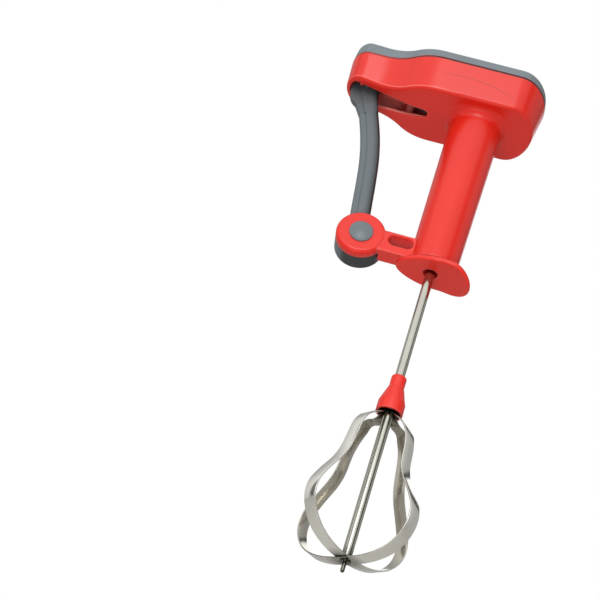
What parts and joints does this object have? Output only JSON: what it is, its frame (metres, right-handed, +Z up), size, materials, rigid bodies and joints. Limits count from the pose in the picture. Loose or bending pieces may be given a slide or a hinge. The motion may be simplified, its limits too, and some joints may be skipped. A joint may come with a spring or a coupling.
{
  "type": "squeeze lever hand blender",
  "caption": "Hand blender with a squeeze lever: a rack and gears under the lid turn a long shaft with a whisk of bent flat strips.",
  "frame": {"origin": "middle of the grip, on the shaft's axis", "axes": "+Z up the shaft to the lid, -X towards the squeeze lever, -Y towards the pivot's button"},
  "size_m": [0.133, 0.0632, 0.3608],
  "materials": {
    "red_plastic": "moulded, satin gloss",
    "grey_plastic": "moulded, satin",
    "stainless_steel": "polished",
    "zinc_plated_steel": "bright zinc",
    "spring_steel": "oiled",
    "red_acetal": "moulded, waxy",
    "white_nylon": "moulded, natural",
    "brass": "turned"
  },
  "bodies": {
    "root": {"gear_housing": "red_plastic", "top_cover": "grey_plastic", "cover_screws": "zinc_plated_steel", "bearing_plate": "zinc_plated_steel", "plate_screws": "zinc_plated_steel", "finger_guard": "red_plastic", "upper_bush": "brass", "lower_bush": "brass", "idler_axle": "zinc_plated_steel", "pivot_pin": "zinc_plated_steel", "pivot_button": "grey_plastic", "return_spring": "spring_steel"},
    "lever": {"squeeze_lever": "grey_plastic", "drive_pin": "zinc_plated_steel"},
    "rack": {"rack_slider": "red_acetal"},
    "idler": {"compound_gear": "white_nylon"},
    "spindle": {"drive_shaft": "stainless_steel", "shaft_pinion": "brass", "thrust_washer": "zinc_plated_steel", "shaft_clips": "zinc_plated_steel", "whisk_collar": "red_plastic", "whisk_ferrule": "stainless_steel", "inner_loop": "stainless_steel", "outer_loop": "stainless_steel", "tip_washer": "stainless_steel"}
  },
  "joints": [
    {"name": "whisk_spin", "type": "hinge", "parent": "root", "child": "spindle", "pos_m": [0, 0, 0], "axis": [0, 0, -1], "range_deg": [0, 1202.5]},
    {"name": "lever_squeeze", "type": "hinge", "parent": "root", "child": "lever", "pos_m": [-0.048, 0, -0.05175], "axis": [0, 1, 0], "range_deg": [0, 16.5], "stiffness_Nm_per_rad": 0.3, "springref_deg": -20.05},
    {"name": "rack_slide", "type": "slide", "parent": "root", "child": "rack", "axis": [1, 0, 0], "range_m": [0, 0.03516]},
    {"name": "idler_turn", "type": "hinge", "parent": "root", "child": "idler", "pos_m": [-0.022, 0, 0.07], "axis": [0, 0, 1], "range_deg": [0, 336]}
  ],
  "couplings": [
    {"joint": "lever_squeeze", "follows": "whisk_spin", "ratio": 0.013718},
    {"joint": "rack_slide", "follows": "whisk_spin", "m_per_rad": 0.0016744},
    {"joint": "idler_turn", "follows": "whisk_spin", "ratio": 0.27907}
  ]
}
